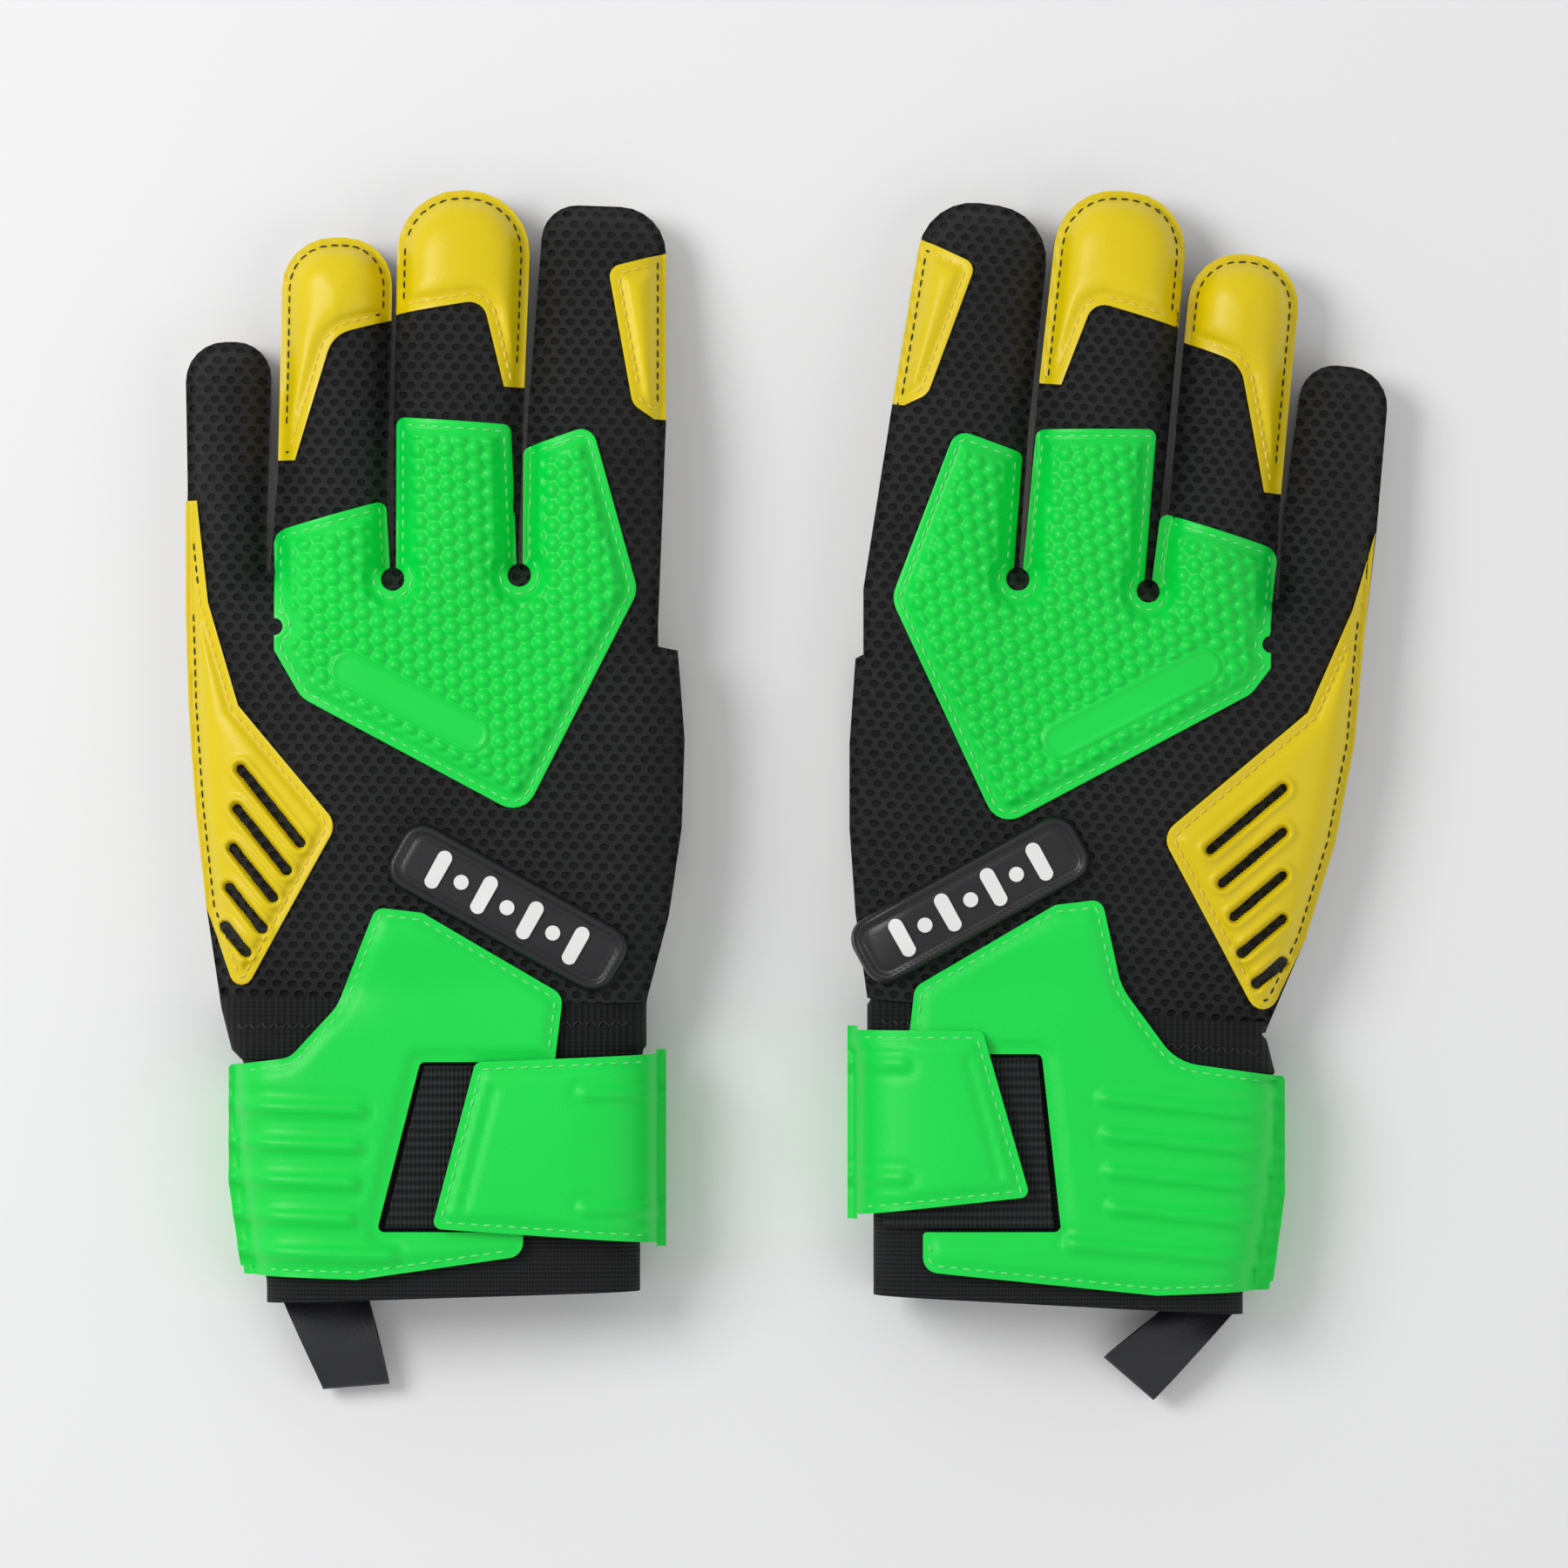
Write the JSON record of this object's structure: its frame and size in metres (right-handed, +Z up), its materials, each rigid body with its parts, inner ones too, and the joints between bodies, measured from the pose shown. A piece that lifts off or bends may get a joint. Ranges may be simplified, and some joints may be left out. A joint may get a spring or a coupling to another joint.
{
  "type": "goalkeeper gloves",
  "caption": "Pair of goalkeeper gloves with mesh backs, latex palms, padded knuckle and fingertip panels, elastic cuffs and wrist straps, lying palm down with folded thumbs.",
  "frame": {"origin": "centre of the pair's footprint on the surface it lies on", "axes": "+X from the left glove to the right glove, +Y towards the fingertips, +Z up out of the glove backs"},
  "size_m": [0.3054, 0.3098, 0.038],
  "materials": {
    "back_mesh": "black spacer mesh, matt",
    "gusset_cloth": "black coated cloth, slight sheen",
    "palm_latex": "white latex foam, matt",
    "green_panel": "embossed green synthetic leather, satin",
    "yellow_panel": "padded yellow synthetic leather, satin",
    "badge_rubber": "moulded black rubber, satin",
    "elastic": "black knitted elastic, matt",
    "loop_pile": "black woven loop tape",
    "hook_tape": "black hook tape",
    "loop_band": "black coated band, satin"
  },
  "bodies": {
    "left_hand": {"left_hand_back": "back_mesh", "left_hand_palm": "palm_latex", "left_hand_gusset": "gusset_cloth", "left_punch_panel": "green_panel", "left_side_panel": "yellow_panel", "left_badge": "badge_rubber", "left_wrist_band": "elastic", "left_cuff": "elastic", "left_cuff_wrap": "green_panel", "left_loop_patch": "loop_pile"},
    "left_knuckles": {"left_knuckle_back": "back_mesh", "left_knuckle_palm": "palm_latex", "left_punch_lobes": "green_panel", "left_side_strip": "yellow_panel"},
    "left_index": {"left_index_back": "back_mesh", "left_index_palm": "palm_latex", "left_index_patch": "yellow_panel"},
    "left_middle": {"left_middle_back": "back_mesh", "left_middle_palm": "palm_latex", "left_middle_cap": "yellow_panel"},
    "left_ring": {"left_ring_back": "back_mesh", "left_ring_palm": "palm_latex", "left_ring_cap": "yellow_panel"},
    "left_pinky": {"left_pinky_back": "back_mesh", "left_pinky_palm": "palm_latex"},
    "left_thumb": {"left_thumb_back": "back_mesh", "left_thumb_palm": "palm_latex"},
    "left_strap_end": {"left_strap": "green_panel", "left_hook_patch": "hook_tape"},
    "left_loop": {"left_pull_loop": "loop_band"},
    "right_hand": {"right_hand_back": "back_mesh", "right_hand_palm": "palm_latex", "right_hand_gusset": "gusset_cloth", "right_punch_panel": "green_panel", "right_side_panel": "yellow_panel", "right_badge": "badge_rubber", "right_wrist_band": "elastic", "right_cuff": "elastic", "right_cuff_wrap": "green_panel", "right_loop_patch": "loop_pile"},
    "right_knuckles": {"right_knuckle_back": "back_mesh", "right_knuckle_palm": "palm_latex", "right_punch_lobes": "green_panel", "right_side_strip": "yellow_panel"},
    "right_index": {"right_index_back": "back_mesh", "right_index_palm": "palm_latex", "right_index_patch": "yellow_panel"},
    "right_middle": {"right_middle_back": "back_mesh", "right_middle_palm": "palm_latex", "right_middle_cap": "yellow_panel"},
    "right_ring": {"right_ring_back": "back_mesh", "right_ring_palm": "palm_latex", "right_ring_cap": "yellow_panel"},
    "right_pinky": {"right_pinky_back": "back_mesh", "right_pinky_palm": "palm_latex"},
    "right_thumb": {"right_thumb_back": "back_mesh", "right_thumb_palm": "palm_latex"},
    "right_strap_end": {"right_strap": "green_panel", "right_hook_patch": "hook_tape"},
    "right_loop": {"right_pull_loop": "loop_band"}
  },
  "joints": [
    {"name": "pair_apart", "type": "slide", "parent": "left_hand", "child": "right_hand", "axis": [1, 0, 0], "range_m": [0, 0.15]},
    {"name": "left_knuckle_bend", "type": "hinge", "parent": "left_hand", "child": "left_knuckles", "pos_m": [-0.0927, 0.0441, 0.0105], "axis": [-0.9994, 0.0349, 0], "range_deg": [0, 55]},
    {"name": "left_index_bend", "type": "hinge", "parent": "left_knuckles", "child": "left_index", "pos_m": [-0.0482, 0.0931, 0.0105], "axis": [-0.9994, 0.0349, 0], "range_deg": [0, 75]},
    {"name": "left_middle_bend", "type": "hinge", "parent": "left_knuckles", "child": "left_middle", "pos_m": [-0.0832, 0.0981, 0.0105], "axis": [-0.9997, 0.0262, 0], "range_deg": [0, 75]},
    {"name": "left_ring_bend", "type": "hinge", "parent": "left_knuckles", "child": "left_ring", "pos_m": [-0.1152, 0.0781, 0.0105], "axis": [-0.9998, 0.0175, 0], "range_deg": [0, 75]},
    {"name": "left_pinky_bend", "type": "hinge", "parent": "left_knuckles", "child": "left_pinky", "pos_m": [-0.14195, 0.0766, 0.0105], "axis": [-1, 0, 0], "range_deg": [0, 75]},
    {"name": "left_thumb_fold", "type": "hinge", "parent": "left_hand", "child": "left_thumb", "pos_m": [-0.0262, 0.0061, 0.01025], "axis": [0, -1, 0], "range_deg": [0, 150]},
    {"name": "left_strap_peel", "type": "hinge", "parent": "left_hand", "child": "left_strap_end", "pos_m": [-0.0307, -0.0909, 0.016], "axis": [0, 1, 0], "range_deg": [0, 110]},
    {"name": "left_loop_swing", "type": "hinge", "parent": "left_hand", "child": "left_loop", "pos_m": [-0.1184, -0.1346, 0.0052], "axis": [1, 0, 0], "range_deg": [-60, 60]},
    {"name": "right_knuckle_bend", "type": "hinge", "parent": "right_hand", "child": "right_knuckles", "pos_m": [0.0823, 0.0441, 0.0105], "axis": [-0.9945, 0.1045, 0], "range_deg": [0, 55]},
    {"name": "right_index_bend", "type": "hinge", "parent": "right_knuckles", "child": "right_index", "pos_m": [0.0438, 0.0941, 0.0105], "axis": [-0.9903, 0.1392, 0], "range_deg": [0, 75]},
    {"name": "right_middle_bend", "type": "hinge", "parent": "right_knuckles", "child": "right_middle", "pos_m": [0.0803, 0.0971, 0.0105], "axis": [-0.9945, 0.1045, 0], "range_deg": [0, 75]},
    {"name": "right_ring_bend", "type": "hinge", "parent": "right_knuckles", "child": "right_ring", "pos_m": [0.1108, 0.0711, 0.0105], "axis": [-0.9954, 0.0958, 0], "range_deg": [0, 75]},
    {"name": "right_pinky_bend", "type": "hinge", "parent": "right_knuckles", "child": "right_pinky", "pos_m": [0.1378, 0.0676, 0.0105], "axis": [-0.9936, 0.1132, 0], "range_deg": [0, 75]},
    {"name": "right_thumb_fold", "type": "hinge", "parent": "right_hand", "child": "right_thumb", "pos_m": [0.0158, 0.0061, 0.01025], "axis": [0, 1, 0], "range_deg": [0, 150]},
    {"name": "right_strap_peel", "type": "hinge", "parent": "right_hand", "child": "right_strap_end", "pos_m": [0.0153, -0.0849, 0.016], "axis": [0, -1, 0], "range_deg": [0, 110]},
    {"name": "right_loop_swing", "type": "hinge", "parent": "right_hand", "child": "right_loop", "pos_m": [0.1063, -0.1376, 0.0052], "axis": [1, 0, 0], "range_deg": [-60, 60]}
  ]
}
